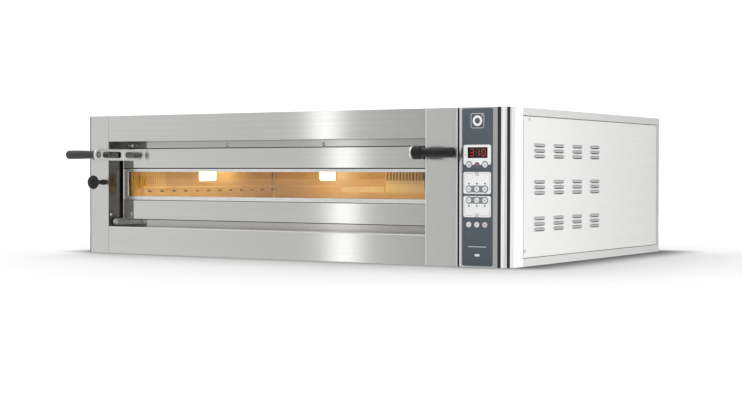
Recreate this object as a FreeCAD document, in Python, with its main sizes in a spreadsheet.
"""Countertop electric pizza oven: one deck, drop-down glazed door, right-hand control panel.

Positions are measured from the cabinet's left front bottom corner: X to the right along the
front, Y to the back, Z up.  The model's origin is the centre of the cabinet's footprint.
Tools that cut run 1 mm past the faces they cut.  All driving sizes are cells of one sheet, in
millimetres, and every object is bound to them.
"""
import FreeCAD
import Part
import Sketcher
import os
import re

DRIVING_SIZES = """
body_width 1386            # cabinet, outer
body_depth 985
body_height 400
sheet_metal 1.5            # thickness of the folded steel
front_depth 72             # depth of the front frame, up to the side panels
left_column_width 75
recess_right 1145          # the door recess ends here
right_column_end 1238
housing_left 1248          # the control housing starts here
fascia_top 325             # underside of the top fascia
fascia_bottom 77.5         # top of the bottom fascia
mouth_plane 85             # the door closes against this plane
rebate_depth 20            # dark slit between column and control housing
post_radius 36             # rounded front right corner
column_radius 6            # rounded front left corner
top_lip 20                 # edge of the top cover that laps over the sides
top_overhang 3             # the cover stands past the back
base_rail 20.5
rear_return 20             # folded edge of the rear panel
rear_split 72              # the rear panel's main sheet starts here
stand_bolt_radius 5.5
stand_bolt_inset_x 93
stand_bolt_inset_y 92.5

louvre_length 57
louvre_height 9.5
louvre_depth 3.2
louvre_slot 2.2
louvre_first_y 136
louvre_pitch_y 115
louvre_first_z 91.7
louvre_pitch_z 14
louvre_group_pitch 93.3

chamber_left 70
chamber_right 1150
chamber_back 836
chamber_floor 146          # top of the stones
chamber_top 286
pan_bottom 100
stone_thickness 16
stone_gap 1
mouth_left 90
mouth_right 1130
mouth_thickness 2
stop_inset 1              # tabs at the mouth's top corners
stop_length 18
stop_height 10
stop_drop 6
stop_thickness 3
skirting_top 191           # lower, thicker strip of the chamber walls
skirting_thickness 3
vent_radius 2.6
vent_first_y 189
vent_pitch 57.45
vent_height 178.3
rail_width 10
element_radius 4.25
element_pitch 56
element_margin 45
upper_element_z 272
lower_element_z 116
exhaust_first_y 764
exhaust_length 54
exhaust_low 242
exhaust_high 278

lamp_side_y 423
lamp_side_length 94
lamp_rear_x 256
lamp_rear_length 69
lamp_low 206
lamp_high 276
lamp_depth 6
lamp_corner 9
baffle_side_y 147
baffle_side_length 120
baffle_rear_x 516
baffle_rear_length 144
baffle_low 171
baffle_rib_low 199
baffle_high 266
baffle_plate 1.2
rib_width 3.2
rib_height 2.5
rib_pitch 8.5
plate_rear_x 343
plate_rear_length 168

door_left 82
door_right 1138
door_front 55
door_back 84.5
door_bottom 99
door_top 304
lower_band_top 154
upper_band_bottom 248.5
window_left 101
window_right 1119
window_bottom 166.5
window_top 237.3
window_setback 1
window_frame_depth 5
glass_thickness 4
glass_lap 5
door_skin 1
hinge_y 22
hinge_z 91
hinge_arm_thickness 4
hinge_eye_radius 9.5
hinge_pin_radius 5
hinge_play 0.15
hinge_head_radius 8
hinge_head_length 3
arm_leg_width 24
arm_top 150
arm_low 81.5

bracket_inset 3            # the bracket stands this far outside the door's end
bracket_thickness 5
bracket_bottom 270
bracket_top 303.6
bracket_end_y -51.5
slot_first_y -26
slot_last_y 38
slot_radius 9
grip_length 116
collar_length 22.5
collar_radius 17.3         # the right grip's collar; the left grip has only a neck
neck_radius 11.2
grip_radius 12.8
grip_rounding 5
left_collar_radius 10.2
grip_bolt_radius 7
grip_bolt_length 4
grip_socket_radius 3.2
grip_socket_floor 1.5

damper_x 55
damper_z 206.7
damper_stem_length 38
damper_stem_radius 8.4
damper_tip_radius 7
damper_cap_radius 20.5
damper_cap_length 15
damper_rounding 9
damper_rod_radius 4
damper_rod_back 800
damper_play 0.5
gate_thickness 3
gate_play 0.4
gate_lap 5
gate_arm_width 12
duct_left 8
duct_front 680
duct_low 192
duct_high 292
duct_flange 5
spigot_radius 25
spigot_wall 2
spigot_length 30
spigot_x 38
spigot_z 242

overlay_left 1252
overlay_right 1338
overlay_bottom 3
overlay_top 397
overlay_thickness 1
overlay_corner 5
overlay_lap 2              # the overlay laps past the panel's opening
label_thickness 0.8        # raised white frames on the overlay
label_left 1256
label_right 1333.5
label_corner 5
display_bottom 256
display_top 306
screen_left 1268
screen_right 1324
screen_bottom 272.8
screen_top 299.9
screen_setback 0.2
keypad_a_bottom 183.3
keypad_a_top 238
keypad_b_bottom 125
keypad_b_top 178
panel_opening_bottom 88
panel_opening_top 312
key_centre_x 1294.3
key_pitch 22.6
key_radius 6.9
key_gap 0.5
key_relief 2.4
key_proud 1.6
key_flange_radius 8.6
key_flange_thickness 1
key_row_display 256
key_row_a 195.3
key_row_b 167.4
key_row_base 106.4
led_radius 1.6
led_proud 0.5
led_row_a 209
led_row_b 153.3

board_depth 8
board_thickness 1.6
board_post_radius 3
board_post_inset 10
board_inset 4
board_lap 10
contactor_width 45
contactor_depth 76
contactor_height 84
contactor_gap 6
contactor_x 1225
contactor_y 420
transformer_x 1268
transformer_y 640
transformer_width 70
transformer_depth 62
transformer_height 75

gland_x 1310
gland_z 62
gland_radius 14
gland_nut_radius 18
gland_nut_length 8
gland_length 26
gland_inner_length 7.5
gland_bore 7

screw_radius 5
screw_length 2.4
side_screw_front 34
side_screw_rear 32
side_screw_drop 28
base_screw_front 8
base_screw_rear 48
base_screw_rise 18.5
mouth_screw_left_x 446
mouth_screw_right_x 776
mouth_screw_drop 11.5
jamb_screw_y 10
jamb_screw_rise 34
insulation_gap 2
insulation_left_edge 46
insulation_right_edge 1200
wool_top_thickness 50
wool_bottom_thickness 36
wool_rear_thickness 60
"""

KEY_ROWS = [
    ("display", "key_row_display", (-1, 0, 1)),
    ("upper", "key_row_a", (-1, 0, 1)),
    ("lower", "key_row_b", (-1, 0, 1)),
]
BASE_KEYS = ("minus", "select", "power")
KEY_SIDES = {-1: "left", 0: "middle", 1: "right"}
VENT_COUNT = 12
LOUVRES_PER_GROUP = 3
LOUVRE_GROUPS = 3
LOUVRE_COLUMNS = 4
STONE_COUNT = 3
ELEMENT_RUNS = 6
CONTACTOR_COUNT = 3

doc = FreeCAD.newDocument("pizza_oven")
sheet = doc.addObject("Spreadsheet::Sheet", "sizes")
size = {}
nodes = []


def fill_sheet():
    """Write each driving size into the sheet and give its cell the size's name."""
    row = 0
    for line in DRIVING_SIZES.splitlines():
        words = line.split("#")[0].split()
        if not words:
            continue
        row += 1
        alias, value = words
        sheet.set(f"A{row}", alias)
        sheet.set(f"B{row}", value)
        sheet.setAlias(f"B{row}", alias)
        size[alias] = float(value)
    doc.recompute()


def formula(text):
    """Point every size name in the text at its cell."""
    def point(match):
        word = match.group(0)
        return f"sizes.{word}" if word in size else word
    return re.sub(r"[A-Za-z_]\w*", point, str(text))


def value(text):
    """The number that a formula of size names stands for."""
    result = sheet.evalExpression(formula(text))
    return float(getattr(result, "Value", result))


def bind(thing, **properties):
    """Bind properties of an object to formulas of size names."""
    for name, text in properties.items():
        thing.setExpression(name, formula(text))
    return thing


def place(thing, x="0", y="0", z="0"):
    """Set an object's position, measured from the cabinet's left front bottom corner."""
    thing.setExpression("Placement.Base.x", formula(f"{x} - body_width / 2"))
    thing.setExpression("Placement.Base.y", formula(f"{y} - body_depth / 2"))
    thing.setExpression("Placement.Base.z", formula(z))
    return thing


def turn(thing, axis, angle):
    """Turn an object about its own origin."""
    thing.Placement.Rotation = FreeCAD.Rotation(FreeCAD.Vector(*axis), angle)


def keep(thing):
    """Keep an object as one sub-part of the oven."""
    nodes.append(thing)
    return thing


def block(name, x, y, z):
    """A box between two formulas along each axis."""
    thing = doc.addObject("Part::Box", name)
    bind(thing, Length=f"({x[1]}) - ({x[0]})", Width=f"({y[1]}) - ({y[0]})",
         Height=f"({z[1]}) - ({z[0]})")
    return place(thing, x[0], y[0], z[0])


def rod(name, axis, start, end, radius, x="0", y="0", z="0"):
    """A cylinder along one axis, from start to end on it."""
    thing = doc.addObject("Part::Cylinder", name)
    bind(thing, Radius=radius, Height=f"({end}) - ({start})")
    if axis == "x":
        turn(thing, (0, 1, 0), 90)
        return place(thing, start, y, z)
    if axis == "y":
        turn(thing, (1, 0, 0), -90)
        return place(thing, x, start, z)
    return place(thing, x, y, start)


def fuse(name, *pieces):
    """The pieces joined into one object."""
    thing = doc.addObject("Part::MultiFuse", name)
    thing.Shapes = list(pieces)
    thing.Refine = True
    return thing


def group(name, *pieces):
    """Separate solids kept together in one sub-part."""
    thing = doc.addObject("Part::Compound", name)
    thing.Links = list(pieces)
    return thing


def cut(name, base, *tools):
    """The base with the tools taken away."""
    thing = doc.addObject("Part::Cut", name)
    thing.Base = base
    thing.Tool = tools[0] if len(tools) == 1 else fuse(name + "_tools", *tools)
    return thing


def plane_of(body, role):
    """One of the body's own origin planes."""
    return next(f for f in body.Origin.OriginFeatures if f.Role == role)


def outline(body, role, points, offset="0"):
    """A closed sketch of straight lines, each corner bound to two formulas."""
    sketch = body.newObject("Sketcher::SketchObject", body.Name + "_outline")
    sketch.AttachmentSupport = (plane_of(body, role), [""])
    sketch.MapMode = "FlatFace"
    sketch.setExpression("AttachmentOffset.Base.z", formula(offset))
    corners = [FreeCAD.Vector(value(a), value(b), 0) for a, b in points]
    count = len(corners)
    for i in range(count):
        sketch.addGeometry(Part.LineSegment(corners[i], corners[(i + 1) % count]), False)
    for i in range(count):
        sketch.addConstraint(Sketcher.Constraint("Coincident", i, 2, (i + 1) % count, 1))
    for i, (a, b) in enumerate(points):
        for kind, text, number in (("DistanceX", a, corners[i].x), ("DistanceY", b, corners[i].y)):
            if str(text) == "0":
                other = -2 if kind == "DistanceX" else -1
                sketch.addConstraint(Sketcher.Constraint("PointOnObject", i, 1, other))
                continue
            index = sketch.addConstraint(Sketcher.Constraint(kind, -1, 1, i, 1, number))
            sketch.setExpression(f"Constraints[{index}]", formula(text))
    return sketch


def pad(body, sketch, length, reversed_side=False):
    """Give a sketch thickness."""
    feature = body.newObject("PartDesign::Pad", body.Name + "_pad")
    feature.Profile = sketch
    feature.Reversed = reversed_side
    return bind(feature, Length=length)


def round_edges(body, feature, radius, chosen):
    """Round the feature's edges that the test picks."""
    doc.recompute()
    edges = feature.Shape.Edges
    names = [f"Edge{i + 1}" for i, edge in enumerate(edges) if chosen(edge)]
    fillet = body.newObject("PartDesign::Fillet", body.Name + "_fillet")
    fillet.Base = (feature, names)
    return bind(fillet, Radius=radius)


def runs_along(axis):
    """A test for straight edges along a direction."""
    wanted = FreeCAD.Vector(*axis)

    def test(edge):
        if edge.Curve.TypeId != "Part::GeomLine":
            return False
        return abs(abs(edge.tangentAt(edge.FirstParameter).dot(wanted)) - 1) < 1e-6
    return test


def rounded_plate(name, x, y, z, radius, across="y"):
    """A flat plate with four rounded corners, thin along X or Y."""
    body = doc.addObject("PartDesign::Body", name)
    if across == "y":
        sketch = outline(body, "XZ_Plane", rectangle(x, z))
        feature = pad(body, sketch, f"({y[1]}) - ({y[0]})", True)
        round_edges(body, feature, radius, runs_along((0, 1, 0)))
        return place(body, "0", y[0], "0")
    sketch = outline(body, "YZ_Plane", rectangle(y, z))
    feature = pad(body, sketch, f"({x[1]}) - ({x[0]})")
    round_edges(body, feature, radius, runs_along((1, 0, 0)))
    return place(body, x[0], "0", "0")


def rectangle(a, b):
    """Corners of a rectangle between two formulas each way."""
    return [(a[0], b[0]), (a[1], b[0]), (a[1], b[1]), (a[0], b[1])]


def revolve(name, points, rounded_radius, rounded_at):
    """A turned piece: its half profile runs along X, and the edge at one length is rounded."""
    body = doc.addObject("PartDesign::Body", name)
    sketch = outline(body, "XZ_Plane", points)
    feature = body.newObject("PartDesign::Revolution", name + "_revolution")
    feature.Profile = sketch
    feature.ReferenceAxis = (sketch, ["H_Axis"])
    feature.Angle = 360
    if rounded_radius:
        end = value(rounded_at)

        def at_end(edge):
            box = edge.BoundBox
            return edge.Curve.TypeId == "Part::GeomCircle" and abs(box.XMin - end) < 0.01 \
                and abs(box.XMax - end) < 0.01
        round_edges(body, feature, rounded_radius, at_end)
    return body


def front_frame():
    """Columns and fascias that frame the door recess, each a folded shell open at the back."""
    wall = "sheet_metal"
    spans = {
        "left_front_column": ("0", "left_column_width", "0", "body_height"),
        "right_front_column": ("recess_right", "right_column_end", "0", "body_height"),
        "top_fascia": ("left_column_width", "recess_right", "fascia_top", "body_height"),
        "bottom_fascia": ("left_column_width", "recess_right", "0", "fascia_bottom"),
    }
    flanges = {
        "left_front_column": (f"left_column_width - {wall}", "left_column_width",
                              "fascia_bottom", "fascia_top"),
        "right_front_column": ("recess_right", f"recess_right + {wall}",
                               "fascia_bottom", "fascia_top"),
        "top_fascia": ("left_column_width", "recess_right", "fascia_top", f"fascia_top + {wall}"),
        "bottom_fascia": ("left_column_width", "recess_right",
                          f"fascia_bottom - {wall}", "fascia_bottom"),
    }
    for name, (x0, x1, z0, z1) in spans.items():
        inner_x = (f"{x0} + {wall}", f"{x1} - {wall}")
        inner_y = (wall, "front_depth + 1")
        inner_z = (f"{z0} + {wall}", f"{z1} - {wall}")
        if name == "left_front_column":
            outer = rounded_post(name + "_outer", (x0, x1), ("0", "front_depth"), (z0, z1),
                                 "column_radius", "left")
            inner = rounded_post(name + "_inner", inner_x, inner_y, inner_z,
                                 f"column_radius - {wall}", "left")
        else:
            outer = block(name + "_outer", (x0, x1), ("0", "front_depth"), (z0, z1))
            inner = block(name + "_inner", inner_x, inner_y, inner_z)
        shell = cut(name + "_shell", outer, inner)
        fx0, fx1, fz0, fz1 = flanges[name]
        flange = block(name + "_flange", (fx0, fx1), ("front_depth - 1", "mouth_plane"),
                       (fz0, fz1))
        if name == "left_front_column":
            whole = fuse(name + "_whole", shell, flange)
            hole = rod(name + "_rod_hole", "y", "-1", f"{wall} + 1",
                       "damper_rod_radius + damper_play", x="damper_x", z="damper_z")
            keep(cut(name, whole, hole))
        else:
            keep(fuse(name, shell, flange))


def rounded_post(name, x, y, z, radius, side="right"):
    """A tall box whose right or left front edge is rounded."""
    body = doc.addObject("PartDesign::Body", name)
    sketch = outline(body, "XY_Plane", rectangle(x, y), z[0])
    feature = pad(body, sketch, f"({z[1]}) - ({z[0]})")
    end = value(x[1] if side == "right" else x[0])
    front = value(y[0])
    along_z = runs_along((0, 0, 1))

    def corner(edge):
        middle = edge.BoundBox.Center
        return along_z(edge) and abs(middle.x - end) < 0.1 and abs(middle.y - front) < 0.1
    round_edges(body, feature, radius, corner)
    return place(body)


def control_housing():
    """Right-hand corner post that carries the control panel."""
    outer = rounded_post("control_housing_outer", ("housing_left", "body_width"),
                         ("0", "front_depth"), ("0", "body_height"), "post_radius")
    inner = rounded_post("control_housing_inner",
                         ("housing_left + sheet_metal", "body_width - sheet_metal"),
                         ("sheet_metal", "front_depth + 1"),
                         ("sheet_metal", "body_height - sheet_metal"),
                         "post_radius - sheet_metal")
    opening = block("control_housing_opening",
                    ("overlay_left + overlay_lap", "overlay_right - overlay_lap"),
                    ("-1", "sheet_metal + 1"), ("panel_opening_bottom", "panel_opening_top"))
    shell = cut("control_housing_shell", outer, inner, opening)
    rebate = block("control_housing_rebate", ("right_column_end", "housing_left"),
                   ("rebate_depth", "rebate_depth + sheet_metal"), ("0", "body_height"))
    keep(fuse("control_housing", shell, rebate))


def key_places():
    """Name, X and Z formulas of every key."""
    places = []
    for row, height, columns in KEY_ROWS:
        for column in columns:
            name = f"key_{row}_{KEY_SIDES[column]}"
            places.append((name, f"key_centre_x + {column} * key_pitch", height))
    for column, use in zip((-1, 0, 1), BASE_KEYS):
        places.append((f"key_{use}", f"key_centre_x + {column} * key_pitch", "key_row_base"))
    return [entry for entry in places if entry[0] != "key_display_middle"]


def key_holes(owner, y, extra):
    """Clear holes round the keys for one layer of the panel."""
    return [rod(f"{owner}_{name}_hole", "y", y[0], y[1], f"key_radius + {extra}", x=x, z=z)
            for name, x, z in key_places()]


def control_panel():
    """Overlay, raised label frames, screen, keys and lights."""
    front = "-overlay_thickness"
    raised = "-overlay_thickness - label_thickness"
    plate = rounded_plate("control_overlay_plate", ("overlay_left", "overlay_right"),
                          (front, "0"), ("overlay_bottom", "overlay_top"), "overlay_corner")
    keep(cut("control_overlay", plate, *key_holes("overlay", (f"{front} - 1", "1"), "key_gap")))

    labels = {
        "display_frame": ("display_bottom", "display_top"),
        "upper_keypad": ("keypad_a_bottom", "keypad_a_top"),
        "lower_keypad": ("keypad_b_bottom", "keypad_b_top"),
    }
    screen_x = ("screen_left", "screen_right")
    screen_z = ("screen_bottom", "screen_top")
    for name, rows in labels.items():
        plate = rounded_plate(name + "_plate", ("label_left", "label_right"), (raised, front),
                              rows, "label_corner")
        tools = key_holes(name, (f"{raised} - 1", front), "key_relief")
        if name == "display_frame":
            tools.append(block("screen_opening", screen_x, (f"{raised} - 1", front), screen_z))
            tools.append(rod("centre_light_hole", "y", f"{raised} - 1", front,
                             "key_radius", x="key_centre_x", z="key_row_display"))
        keep(cut(name, plate, *tools))
    keep(block("display_window", screen_x, (f"{raised} + screen_setback", front), screen_z))

    for name, x, z in key_places():
        cap = rod(name + "_cap", "y", f"{raised} - key_proud", "key_gap", "key_radius", x=x, z=z)
        flange = rod(name + "_flange", "y", "key_gap / 2", "key_gap / 2 + key_flange_thickness",
                     "key_flange_radius", x=x, z=z)
        keep(fuse(name, cap, flange))

    lights = [rod("light_centre", "y", f"{raised} - led_proud", front, "led_radius * 2",
                  x="key_centre_x", z="key_row_display")]
    for row in ("led_row_a", "led_row_b"):
        for column in (-1, 0, 1):
            lights.append(rod(f"light_{row}_{column + 2}", "y", f"{raised} - led_proud", raised,
                              "led_radius", x=f"key_centre_x + {column} * key_pitch", z=row))
    keep(group("status_lights", *lights))


def louvred_panel(name, x, outward):
    """A side panel with rows of pressed louvres, each with a slot under its hood."""
    body = doc.addObject("PartDesign::Body", name)
    face = outline(body, "YZ_Plane", rectangle(("front_depth", "body_depth - rear_return"),
                                               ("base_rail", "body_height - top_lip")))
    skin = pad(body, face, "sheet_metal")
    middle = "louvre_first_z"
    first = "louvre_first_y"
    half = "louvre_height / 2"
    hood_rows = (f"{middle} - {half}", f"{middle} + {half}")
    hood_face = outline(body, "YZ_Plane", rectangle((first, f"{first} + louvre_length"),
                                                    hood_rows), "sheet_metal")
    hood = pad(body, hood_face, "louvre_depth")
    hood.TaperAngle = -30
    slot_face = outline(body, "YZ_Plane", rectangle(
        (f"{first} + louvre_height / 2", f"{first} + louvre_length - louvre_height / 2"),
        (hood_rows[0], f"{hood_rows[0]} + louvre_slot")), "sheet_metal + louvre_depth")
    slot = body.newObject("PartDesign::Pocket", name + "_slot")
    slot.Profile = slot_face
    bind(slot, Length="sheet_metal + louvre_depth + 1")
    spread = body.newObject("PartDesign::MultiTransform", name + "_louvres")
    steps = []
    for axis, pitch, count in (("V_Axis", "louvre_pitch_z", LOUVRES_PER_GROUP),
                               ("V_Axis", "louvre_group_pitch", LOUVRE_GROUPS),
                               ("H_Axis", "louvre_pitch_y", LOUVRE_COLUMNS)):
        step = body.newObject("PartDesign::LinearPattern", f"{name}_step_{len(steps)}")
        step.Direction = (hood_face, [axis])
        step.Occurrences = count
        bind(step, Length=f"{pitch} * {count - 1}")
        steps.append(step)
    spread.Originals = [hood, slot]
    spread.Transformations = steps
    body.Tip = spread
    doc.recompute()
    if outward < 0:
        turn(body, (0, 0, 1), 180)
        place(body, x, "body_depth - rear_return + front_depth", "0")
    else:
        place(body, x, "0", "0")
    return keep(body)


def outer_shell():
    """Side panels, top cover, base tray and the rear panel round the steam outlet."""
    louvred_panel("right_side_panel", "body_width - sheet_metal", 1)
    louvred_panel("left_side_panel", "sheet_metal", -1)

    lip_z = ("body_height - top_lip", "body_height")
    full_y = ("front_depth", "body_depth + top_overhang")
    plate = block("cover_plate", ("0", "body_width"), full_y,
                  ("body_height - sheet_metal", "body_height"))
    left = block("cover_left_lip", ("0", "sheet_metal"), full_y, lip_z)
    right = block("cover_right_lip", ("body_width - sheet_metal", "body_width"), full_y, lip_z)
    rear = block("cover_rear_lip", ("0", "body_width"),
                 ("body_depth + top_overhang - sheet_metal", "body_depth + top_overhang"), lip_z)
    keep(fuse("top_cover", plate, left, right, rear))

    rail_z = ("0", "base_rail")
    base_y = ("front_depth", "body_depth")
    plate = block("base_plate", ("0", "body_width"), base_y, ("0", "sheet_metal"))
    left = block("base_left_rail", ("0", "sheet_metal"), base_y, rail_z)
    right = block("base_right_rail", ("body_width - sheet_metal", "body_width"), base_y, rail_z)
    rear = block("base_rear_rail", ("0", "body_width"),
                 ("body_depth - sheet_metal", "body_depth"), rail_z)
    holes = []
    for side_x, x in (("left", "stand_bolt_inset_x"), ("right", "body_width - stand_bolt_inset_x")):
        for side_y, y in (("front", "stand_bolt_inset_y"),
                          ("rear", "body_depth - stand_bolt_inset_y")):
            holes.append(rod(f"stand_hole_{side_x}_{side_y}", "z", "-1", "sheet_metal + 1",
                             "stand_bolt_radius", x=x, y=y))
    keep(cut("base_tray", fuse("base_sheet", plate, left, right, rear), *holes))

    panel_z = ("base_rail", "body_height - top_lip")
    sheet_y = ("body_depth - sheet_metal", "body_depth")
    return_y = ("body_depth - rear_return", "body_depth")
    back = block("rear_sheet", ("rear_split", "body_width"), sheet_y, panel_z)
    right = block("rear_right_return", ("body_width - sheet_metal", "body_width"), return_y,
                  panel_z)
    left = block("rear_left_return", ("0", "sheet_metal"), return_y, panel_z)
    gland = rod("rear_gland_hole", "y", "body_depth - sheet_metal - 1", "body_depth + 1",
                "gland_radius", x="gland_x", z="gland_z")
    main = cut("rear_main_sheet", fuse("rear_folded", back, right), gland)
    corner_x = ("sheet_metal", "rear_split")
    below = block("rear_lower_corner", corner_x, sheet_y, (panel_z[0], "duct_low - duct_flange"))
    above = block("rear_upper_corner", corner_x, sheet_y, ("duct_high + duct_flange", panel_z[1]))
    keep(group("rear_panel", main, left, below, above))


def mouth_frame():
    """Four strips round the chamber mouth, in the plane the door closes against."""
    y = ("mouth_plane", "mouth_plane + mouth_thickness")
    full_x = ("left_column_width", "recess_right")
    side_z = ("chamber_floor", "chamber_top")
    keep(block("mouth_top_strip", full_x, y, ("chamber_top", "fascia_top")))
    keep(block("mouth_bottom_strip", full_x, y, ("fascia_bottom", "chamber_floor")))
    keep(group("mouth_side_strips",
               block("mouth_left_strip", ("left_column_width", "mouth_left"), y, side_z),
               block("mouth_right_strip", ("mouth_right", "recess_right"), y, side_z)))
    tab_y = ("mouth_plane - stop_thickness", "mouth_plane")
    tab_z = ("fascia_top - stop_drop - stop_height", "fascia_top - stop_drop")
    left_x = ("left_column_width + stop_inset", "left_column_width + stop_inset + stop_length")
    right_x = ("recess_right - stop_inset - stop_length", "recess_right - stop_inset")
    keep(group("door_stops", block("door_stop_left", left_x, tab_y, tab_z),
               block("door_stop_right", right_x, tab_y, tab_z)))


def chamber():
    """Chamber walls, ceiling, pan and stones."""
    start = "mouth_plane + mouth_thickness"
    wall = "sheet_metal"
    wall_z = ("pan_bottom", "chamber_top")
    skirt_z = ("chamber_floor", "skirting_top")
    long_y = (start, "chamber_back")

    left_skin = block("left_wall_skin", (f"chamber_left - {wall}", "chamber_left"), long_y, wall_z)
    left_skirt = block("left_wall_skirting", ("chamber_left", "chamber_left + skirting_thickness"),
                       long_y, skirt_z)
    holes = [rod(f"vent_{i + 1}", "x", f"chamber_left - {wall} - 1",
                 "chamber_left + skirting_thickness + 1", "vent_radius",
                 y=f"vent_first_y + {i} * vent_pitch", z="vent_height") for i in range(VENT_COUNT)]
    holes.append(block("left_wall_exhaust", (f"chamber_left - {wall} - 1", "chamber_left + 1"),
                       ("exhaust_first_y", "exhaust_first_y + exhaust_length"),
                       ("exhaust_low", "exhaust_high")))
    keep(cut("chamber_left_wall", fuse("left_wall_sheet", left_skin, left_skirt), *holes))

    right_skin = block("right_wall_skin", ("chamber_right", f"chamber_right + {wall}"), long_y,
                       wall_z)
    right_skirt = block("right_wall_skirting",
                        ("chamber_right - skirting_thickness", "chamber_right"), long_y, skirt_z)
    keep(fuse("chamber_right_wall", right_skin, right_skirt))

    back_skin = block("back_wall_skin", (f"chamber_left - {wall}", f"chamber_right + {wall}"),
                      ("chamber_back", f"chamber_back + {wall}"), wall_z)
    back_skirt = block("back_wall_skirting",
                       ("chamber_left + skirting_thickness", "chamber_right - skirting_thickness"),
                       ("chamber_back - skirting_thickness", "chamber_back"), skirt_z)
    keep(fuse("chamber_back_wall", back_skin, back_skirt))
    keep(block("chamber_ceiling", (f"chamber_left - {wall}", f"chamber_right + {wall}"),
               (start, f"chamber_back + {wall}"), ("chamber_top", f"chamber_top + {wall}")))

    pan = block("pan_sheet", ("chamber_left", "chamber_right"), long_y,
                ("pan_bottom", f"pan_bottom + {wall}"))
    pieces = [pan]
    bay = f"((chamber_right - chamber_left) / {STONE_COUNT})"
    for i in range(STONE_COUNT + 1):
        centre = f"chamber_left + {i} * {bay}"
        low = "chamber_left" if i == 0 else f"{centre} - rail_width / 2"
        high = "chamber_right" if i == STONE_COUNT else f"{centre} + rail_width / 2"
        pieces.append(block(f"pan_rail_{i + 1}", (low, high), long_y,
                            (f"pan_bottom + {wall}", "chamber_floor - stone_thickness")))
    keep(fuse("stone_pan", *pieces))

    stones = []
    for i in range(STONE_COUNT):
        low = f"chamber_left + {i} * {bay} + stone_gap / 2"
        high = f"chamber_left + {i + 1} * {bay} - stone_gap / 2"
        stones.append(block(f"stone_{i + 1}", (low, high),
                            (f"{start} + stone_gap", "chamber_back - stone_gap"),
                            ("chamber_floor - stone_thickness", "chamber_floor")))
    keep(group("oven_stones", *stones))


def heating_element(name, bay, height):
    """One tubular heater: straight runs from the back wall joined by half-round bends."""
    left = size["chamber_left"] - size["body_width"] / 2
    bay_width = (size["chamber_right"] - size["chamber_left"]) / STONE_COUNT
    pitch = size["element_pitch"]
    margin = size["element_margin"]
    first = left + bay * bay_width + (bay_width - (ELEMENT_RUNS - 1) * pitch) / 2
    back = size["chamber_back"] - size["body_depth"] / 2
    near = size["mouth_plane"] + margin - size["body_depth"] / 2
    far = size["chamber_back"] - margin - size["body_depth"] / 2
    bend = pitch / 2
    edges = []
    here = FreeCAD.Vector(first, back, height)
    for run in range(ELEMENT_RUNS):
        goes_forward = run % 2 == 0
        turn_y = near + bend if goes_forward else far - bend
        last = run == ELEMENT_RUNS - 1
        there = FreeCAD.Vector(first + run * pitch, back if last else turn_y, height)
        edges.append(Part.LineSegment(here, there).toShape())
        if last:
            break
        side = -bend if goes_forward else bend
        middle = there + FreeCAD.Vector(bend, side, 0)
        here = there + FreeCAD.Vector(pitch, 0, 0)
        edges.append(Part.Arc(there, middle, here).toShape())
    path = Part.Wire(edges)
    circle = Part.Circle(path.Vertexes[0].Point, FreeCAD.Vector(0, 1, 0), size["element_radius"])
    profile = Part.Wire([circle.toShape()])
    thing = doc.addObject("Part::Feature", name)
    thing.Shape = path.makePipeShell([profile], True, False)
    return thing


def heating():
    """Heaters under the ceiling and under the stones, one in each bay."""
    for name, height in (("upper_elements", size["upper_element_z"]),
                         ("lower_elements", size["lower_element_z"])):
        tubes = [heating_element(f"{name}_{bay + 1}", bay, height) for bay in range(STONE_COUNT)]
        keep(group(name, *tubes))


def ribbed_plate(name, along, start, length, plate_low, wall_face, into):
    """A thin plate on a chamber wall with upright ribs pressed into its upper part."""
    count = int(size[length.split()[0]] / size["rib_pitch"])
    near = f"{wall_face} + {into} * baffle_plate"
    far = f"{wall_face} + {into} * (baffle_plate + rib_height)"
    thin = (wall_face, near) if into > 0 else (near, wall_face)
    ridge = (near, far) if into > 0 else (far, near)
    pieces = []
    spans = [((start, f"{start} + {length}"), thin, (plate_low, "baffle_high"))]
    for i in range(count):
        low = f"{start} + {i} * rib_pitch + rib_pitch / 4"
        spans.append(((low, f"{low} + rib_width"), ridge, ("baffle_rib_low", "baffle_high")))
    for i, (run, depth, rows) in enumerate(spans):
        x, y = (depth, run) if along == "y" else (run, depth)
        pieces.append(block(f"{name}_{i + 1}", x, y, rows))
    return fuse(name, *pieces)


def chamber_fittings():
    """Ribbed plates, cover plate and lamps inside the chamber."""
    side = ribbed_plate("side_ribs", "y", "baffle_side_y", "baffle_side_length", "skirting_top",
                        "chamber_left", 1)
    rear = ribbed_plate("rear_ribs", "x", "baffle_rear_x", "baffle_rear_length", "baffle_low",
                        "chamber_back - skirting_thickness", -1)
    cover = block("rear_cover_plate", ("plate_rear_x", "plate_rear_x + plate_rear_length"),
                  ("chamber_back - skirting_thickness - baffle_plate",
                   "chamber_back - skirting_thickness"), ("baffle_low", "skirting_top"))
    keep(group("chamber_baffles", side, rear, cover))

    lamp_z = ("lamp_low", "lamp_high")
    side_lamp = rounded_plate("side_lamp", ("chamber_left", "chamber_left + lamp_depth"),
                              ("lamp_side_y", "lamp_side_y + lamp_side_length"), lamp_z,
                              "lamp_corner", "x")
    rear_lamp = rounded_plate("rear_lamp", ("lamp_rear_x", "lamp_rear_x + lamp_rear_length"),
                              ("chamber_back - lamp_depth", "chamber_back"), lamp_z,
                              "lamp_corner")
    keep(group("chamber_lamps", side_lamp, rear_lamp))


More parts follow.
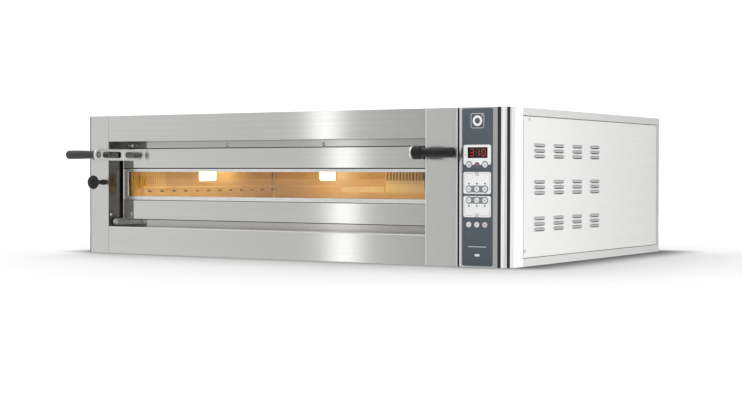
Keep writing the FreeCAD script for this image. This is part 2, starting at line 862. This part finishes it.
def insulation():
    """Mineral wool slabs between the chamber and the outer shell."""
    gap = "insulation_gap"
    start = "mouth_plane + mouth_thickness + insulation_gap"
    full_x = (f"sheet_metal + {gap}", "insulation_right_edge")
    inside_y = (start, f"body_depth - rear_return - {gap}")
    side_z = ("pan_bottom", "duct_low - insulation_gap")
    slabs = [
        block("wool_top", full_x, inside_y,
              (f"duct_high + {gap}", f"duct_high + {gap} + wool_top_thickness")),
        block("wool_bottom", full_x, inside_y,
              (f"pan_bottom - {gap} - wool_bottom_thickness", f"pan_bottom - {gap}")),
        block("wool_rear", ("chamber_left", "chamber_right"),
              (f"chamber_back + sheet_metal + {gap}",
               f"chamber_back + sheet_metal + {gap} + wool_rear_thickness"),
              ("pan_bottom", "chamber_top")),
        block("wool_left", (full_x[0], "insulation_left_edge"), (start, f"duct_front - {gap}"),
              ("pan_bottom", "duct_high")),
        block("wool_left_rear", (full_x[0], "insulation_left_edge"), (f"duct_front + {gap}",
              inside_y[1]), side_z),
        block("wool_right", (f"chamber_right + sheet_metal + {gap}", "insulation_right_edge"),
              inside_y, ("pan_bottom", "duct_high")),
    ]
    keep(group("insulation", *slabs))


def exhaust():
    """Steam duct of flat sheets outside the left chamber wall, with a round spigot at the back."""
    wall = "sheet_metal"
    right = f"chamber_left - {wall}"
    full_x = ("duct_left", right)
    end_y = (f"body_depth - {wall}", "body_depth")
    front_y = ("duct_front", f"duct_front + {wall}")
    side_y = (front_y[1], end_y[0])
    side_z = (f"duct_low + {wall}", f"duct_high - {wall}")
    floor = block("duct_floor", full_x, ("duct_front", end_y[0]), ("duct_low", side_z[0]))
    roof = block("duct_roof", full_x, ("duct_front", end_y[0]), (side_z[1], "duct_high"))
    left_side = block("duct_left_side", ("duct_left", f"duct_left + {wall}"), side_y, side_z)
    inlet = block("duct_inlet", (f"{right} - {wall} - 1", f"{right} + 1"),
                  ("exhaust_first_y", "exhaust_first_y + exhaust_length"),
                  ("exhaust_low", "exhaust_high"))
    right_side = cut("duct_right_side",
                     block("duct_right_sheet", (f"{right} - {wall}", right), side_y, side_z), inlet)
    rod_hole = rod("duct_rod_hole", "y", "duct_front - 1", f"{front_y[1]} + 1",
                   "damper_rod_radius + damper_play", x="damper_x", z="damper_z")
    front = cut("duct_front_end", block("duct_front_sheet", full_x, front_y, side_z), rod_hole)

    plate = block("spigot_plate", ("sheet_metal", "rear_split"), end_y,
                  ("duct_low - duct_flange", "duct_high + duct_flange"))
    tube = rod("spigot_tube", "y", end_y[0], "body_depth + spigot_length", "spigot_radius",
               x="spigot_x", z="spigot_z")
    bore = rod("spigot_bore", "y", f"{end_y[0]} - 1", "body_depth + spigot_length + 1",
               "spigot_radius - spigot_wall", x="spigot_x", z="spigot_z")
    end = cut("duct_rear_end", fuse("plate_with_spigot", plate, tube), bore)
    keep(group("exhaust_duct", floor, roof, left_side, right_side, front, end))


def damper():
    """Pull knob on the front, its long rod and the gate that closes the exhaust."""
    knob = revolve("damper_knob_turned", [
        ("0", "0"), ("0", "damper_stem_radius"),
        ("damper_stem_length", "damper_tip_radius"),
        ("damper_stem_length", "damper_cap_radius - damper_rounding / 2"),
        ("damper_stem_length + damper_rounding / 2", "damper_cap_radius"),
        ("damper_stem_length + damper_cap_length", "damper_cap_radius"),
        ("damper_stem_length + damper_cap_length", "0"),
    ], "damper_rounding", "damper_stem_length + damper_cap_length")
    turn(knob, (0, 0, 1), -90)
    place(knob, "damper_x", "-damper_play", "damper_z")
    bore = rod("damper_bore", "y", "-damper_stem_length", "1", "damper_rod_radius",
               x="damper_x", z="damper_z")
    keep(cut("damper_knob", knob, bore))

    shaft = rod("damper_shaft", "y", "-damper_stem_length", "damper_rod_back",
                "damper_rod_radius", x="damper_x", z="damper_z")
    gate_right = "chamber_left - 2 * sheet_metal - gate_play"
    gate_y = ("exhaust_first_y - gate_lap", "exhaust_first_y + exhaust_length + gate_lap")
    gate = block("damper_plate", (f"{gate_right} - gate_thickness", gate_right), gate_y,
                 ("exhaust_low - gate_lap", "exhaust_high + gate_lap"))
    arm = block("damper_arm", ("damper_x - damper_rod_radius", gate_right),
                ("damper_rod_back - gate_arm_width", "damper_rod_back"),
                ("damper_z - damper_rod_radius", "exhaust_low"))
    keep(fuse("damper_rod", shaft, gate, arm))


def band(name, z):
    """One steel band across the door: a folded shell open at the back."""
    x = ("door_left", "door_right")
    y = ("door_front", "door_back - door_skin")
    outer = block(name + "_outer", x, y, z)
    inner = block(name + "_inner", (f"{x[0]} + door_skin", f"{x[1]} - door_skin"),
                  (f"{y[0]} + sheet_metal", f"{y[1]} + 1"), (f"{z[0]} + door_skin",
                                                            f"{z[1]} - door_skin"))
    keep(cut(name, outer, inner))


def door():
    """The drop-down door: two bands, window frame, two panes and the inner sheet."""
    band("door_lower_band", ("door_bottom", "lower_band_top"))
    band("door_upper_band", ("upper_band_bottom", "door_top"))

    window_x = ("window_left", "window_right")
    window_z = ("window_bottom", "window_top")
    frame_y = ("door_front + window_setback", "door_front + window_setback + window_frame_depth")
    full_x = ("door_left", "door_right")
    middle_z = ("lower_band_top", "upper_band_bottom")
    frame = block("window_frame_outer", full_x, frame_y, middle_z)
    hole = block("window_frame_hole", window_x, ("door_front - 1", "door_back"), window_z)
    keep(cut("window_frame", frame, hole))

    pane_x = ("window_left - glass_lap", "window_right + glass_lap")
    pane_z = ("window_bottom - glass_lap", "window_top + glass_lap")
    sheet_y = ("door_back - door_skin", "door_back")
    outer = block("outer_pane", pane_x, (frame_y[1], f"{frame_y[1]} + glass_thickness"), pane_z)
    inner = block("inner_pane", pane_x, (f"{sheet_y[0]} - glass_thickness", sheet_y[0]), pane_z)
    keep(group("window_panes", outer, inner))

    skin = block("inner_sheet_skin", full_x, sheet_y, ("door_bottom", "door_top"))
    left = block("inner_sheet_left", ("door_left", "door_left + door_skin"),
                 (frame_y[1], sheet_y[1]), middle_z)
    right = block("inner_sheet_right", ("door_right - door_skin", "door_right"),
                  (frame_y[1], sheet_y[1]), middle_z)
    opening = block("inner_sheet_opening", window_x, (f"{sheet_y[0]} - 1", "door_back + 1"),
                    window_z)
    keep(cut("door_inner_sheet", fuse("inner_sheet_folded", skin, left, right), opening))


def hinges():
    """Pivot bolts on the jambs and the two arms that carry the door on them."""
    pins = []
    arms = []
    sides = (("left", "left_column_width", "door_left", 1),
             ("right", "recess_right", "door_right", -1))
    for side, jamb, door_end, inward in sides:
        outer_face = f"{door_end} - {inward} * hinge_arm_thickness"
        arm_x = (outer_face, door_end) if inward > 0 else (door_end, outer_face)
        name = f"hinge_arm_{side}"
        eye = rod(name + "_eye", "x", *arm_x, "hinge_eye_radius", y="hinge_y", z="hinge_z")
        foot = block(name + "_foot", arm_x, ("hinge_y", "door_back"),
                     ("arm_low", "hinge_z + hinge_eye_radius"))
        leg = block(name + "_leg", arm_x, ("door_back - arm_leg_width", "door_back"),
                    ("arm_low", "arm_top"))
        bore = rod(name + "_bore", "x", f"{arm_x[0]} - 1", f"{arm_x[1]} + 1",
                   "hinge_pin_radius + hinge_play", y="hinge_y", z="hinge_z")
        arms.append(cut(name, fuse(name + "_plate", eye, foot, leg), bore))
        neck_end = f"{door_end} + {inward} * hinge_play * 2"
        head_end = f"{neck_end} + {inward} * hinge_head_length"
        shank_x = (jamb, neck_end) if inward > 0 else (neck_end, jamb)
        head_x = (neck_end, head_end) if inward > 0 else (head_end, neck_end)
        shank = rod(f"hinge_shank_{side}", "x", *shank_x, "hinge_pin_radius",
                    y="hinge_y", z="hinge_z")
        head = rod(f"hinge_head_{side}", "x", *head_x, "hinge_head_radius",
                   y="hinge_y", z="hinge_z")
        pins.append(fuse(f"hinge_pin_{side}", shank, head))
    keep(group("hinge_arms", *arms))
    keep(group("hinge_pins", *pins))


def handles():
    """A slotted bracket at each end of the door, with a black grip pointing outward."""
    bolts = []
    grips = []
    middle = "(bracket_bottom + bracket_top) / 2"
    end_radius = "(bracket_top - bracket_bottom) / 2"
    sides = (("left", "door_left - bracket_inset", 1), ("right", "door_right + bracket_inset", -1))
    for side, outer_face, inward in sides:
        inner_face = f"{outer_face} + {inward} * bracket_thickness"
        x = (outer_face, inner_face) if inward > 0 else (inner_face, outer_face)
        name = f"{side}_handle_bracket"
        bar = block(name + "_bar", x, ("bracket_end_y", "door_front"),
                    ("bracket_bottom", "bracket_top"))
        nose = rod(name + "_nose", "x", *x, end_radius, y="bracket_end_y", z=middle)
        through = (f"{x[0]} - 1", f"{x[1]} + 1")
        slot = block(name + "_slot", through, ("slot_first_y", "slot_last_y"),
                     (f"{middle} - slot_radius", f"{middle} + slot_radius"))
        ends = [rod(f"{name}_slot_{end}", "x", *through, "slot_radius", y=y, z=middle)
                for end, y in (("front", "slot_first_y"), ("rear", "slot_last_y"))]
        keep(cut(name, fuse(name + "_plate", bar, nose), slot, *ends))

        collar = "collar_radius" if side == "right" else "left_collar_radius"
        grip = revolve(f"{side}_handle_grip", [
            ("0", "0"), ("0", collar), ("collar_length", collar),
            ("collar_length", "neck_radius"), ("grip_length", "grip_radius"),
            ("grip_length", "0")], "grip_rounding", "grip_length")
        turn(grip, (0, 0, 1), 180 if inward > 0 else 0)
        grips.append(place(grip, outer_face, "bracket_end_y", middle))

        bolt_end = f"{inner_face} + {inward} * grip_bolt_length"
        bolt_x = (inner_face, bolt_end) if inward > 0 else (bolt_end, inner_face)
        head = rod(f"{side}_grip_bolt_head", "x", *bolt_x, "grip_bolt_radius",
                   y="bracket_end_y", z=middle)
        socket_x = (f"{bolt_x[0]} + grip_socket_floor", f"{bolt_x[1]} + 1") if inward > 0 \
            else (f"{bolt_x[0]} - 1", f"{bolt_x[1]} - grip_socket_floor")
        socket = rod(f"{side}_grip_bolt_socket", "x", *socket_x, "grip_socket_radius",
                     y="bracket_end_y", z=middle)
        bolts.append(cut(f"{side}_grip_bolt", head, socket))
    keep(group("handle_grips", *grips))
    keep(group("grip_bolts", *bolts))


def electrics():
    """Control board behind the panel, contactors and transformer in the right-hand bay."""
    board_y = ("board_depth", "board_depth + board_thickness")
    board = block("board_plate", ("overlay_left + board_inset", "overlay_right - board_inset"),
                  board_y, ("panel_opening_bottom - board_lap", "panel_opening_top + board_lap"))
    posts = []
    for i, x in enumerate(("overlay_left + board_post_inset", "overlay_right - board_post_inset")):
        for j, z in enumerate(("panel_opening_bottom - board_lap / 2",
                               "panel_opening_top + board_lap / 2")):
            posts.append(rod(f"board_post_{i}{j}", "y", "sheet_metal", board_y[0],
                             "board_post_radius", x=x, z=z))
    keep(fuse("control_board", board, *posts))

    parts = []
    for i in range(CONTACTOR_COUNT):
        low = f"contactor_x + {i} * (contactor_width + contactor_gap)"
        parts.append(block(f"contactor_{i + 1}", (low, f"{low} + contactor_width"),
                           ("contactor_y", "contactor_y + contactor_depth"),
                           ("sheet_metal", "sheet_metal + contactor_height")))
    parts.append(block("transformer", ("transformer_x", "transformer_x + transformer_width"),
                       ("transformer_y", "transformer_y + transformer_depth"),
                       ("sheet_metal", "sheet_metal + transformer_height")))
    keep(group("power_electrics", *parts))


def cable_gland():
    """Gland for the supply cable: threaded body, hexagonal nut and a clear bore."""
    body = rod("gland_body", "y", "body_depth - gland_inner_length", "body_depth + gland_length",
               "gland_radius", x="gland_x", z="gland_z")
    nut = doc.addObject("Part::Prism", "gland_nut")
    nut.Polygon = 6
    bind(nut, Circumradius="gland_nut_radius", Height="gland_nut_length")
    turn(nut, (1, 0, 0), -90)
    place(nut, "gland_x", "body_depth", "gland_z")
    bore = rod("gland_through", "y", "body_depth - gland_inner_length - 1",
               "body_depth + gland_length + 1", "gland_bore", x="gland_x", z="gland_z")
    keep(cut("cable_gland", fuse("gland_solid", body, nut), bore))


def screws():
    """Visible screw heads of the side panels, mouth frame and left jamb."""
    heads = []
    side_places = (("front_depth + side_screw_front", "body_height - side_screw_drop"),
                   ("body_depth - side_screw_rear", "body_height - side_screw_drop"),
                   ("body_depth - base_screw_rear", "base_rail + screw_radius * 1.5"),
                   ("front_depth + base_screw_front", "base_rail + base_screw_rise"))
    for i, (y, z) in enumerate(side_places):
        heads.append(rod(f"screw_right_{i + 1}", "x", "body_width", "body_width + screw_length",
                         "screw_radius", y=y, z=z))
        heads.append(rod(f"screw_left_{i + 1}", "x", "-screw_length", "0", "screw_radius",
                         y=y, z=z))
    for i, x in enumerate(("mouth_screw_left_x", "mouth_screw_right_x")):
        heads.append(rod(f"screw_mouth_{i + 1}", "y", "mouth_plane - screw_length", "mouth_plane",
                         "screw_radius", x=x, z="fascia_top - mouth_screw_drop"))
    heads.append(rod("screw_jamb", "x", "left_column_width", "left_column_width + screw_length",
                     "screw_radius", y="jamb_screw_y", z="fascia_bottom + jamb_screw_rise"))
    keep(group("case_screws", *heads))


def check_document():
    """Stop when any object failed or a sub-part has no valid closed solid."""
    for thing in doc.Objects:
        if "Invalid" in thing.State or "Error" in thing.State:
            raise RuntimeError(f"{thing.Label} failed: {thing.State}")
    for thing in nodes:
        shape = thing.Shape
        if shape.isNull() or not shape.isValid() or not shape.Solids:
            raise RuntimeError(f"{thing.Label} has no valid solid")


def export():
    """Write each sub-part to its own file."""
    os.makedirs("parts", exist_ok=True)
    for thing in nodes:
        thing.Shape.exportStep(f"parts/{thing.Label}.step")
        print(f"{thing.Label}: {len(thing.Shape.Solids)} solid(s), "
              f"{thing.Shape.Volume / 1000:.1f} cm3")


fill_sheet()
front_frame()
control_housing()
control_panel()
outer_shell()
mouth_frame()
chamber()
heating()
chamber_fittings()
insulation()
exhaust()
damper()
door()
hinges()
handles()
electrics()
cable_gland()
screws()
doc.recompute()
check_document()
export()
